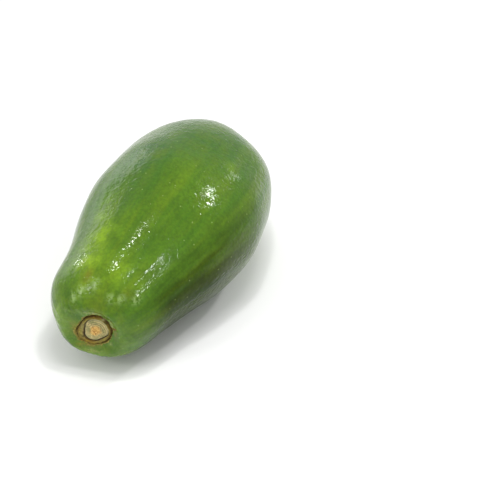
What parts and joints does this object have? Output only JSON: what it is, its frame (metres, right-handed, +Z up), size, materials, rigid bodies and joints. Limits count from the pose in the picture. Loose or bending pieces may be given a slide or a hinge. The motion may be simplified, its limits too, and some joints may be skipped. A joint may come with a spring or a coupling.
{
  "type": "papaya",
  "caption": "Whole unripe papaya, pear-shaped with faint lobes, a cut stalk stub in its stem scar, lying on its side on a small flat spot.",
  "frame": {"origin": "on the surface that the fruit lies on, under the middle of its bounding box", "axes": "+Y along the fruit from the stem end to the blossom end, +Z up, +X to the right seen from the stem end"},
  "size_m": [0.1186, 0.2174, 0.1043],
  "materials": {
    "papaya_skin": "smooth waxy green skin, satin to glossy, with a fine pebbled surface and paler yellow-green patches",
    "stalk_wood": "dry cut stalk, matt grey-tan with an orange-tan fibrous middle"
  },
  "bodies": {
    "root": {"fruit": "papaya_skin", "stem_stub": "stalk_wood"}
  },
  "joints": []
}
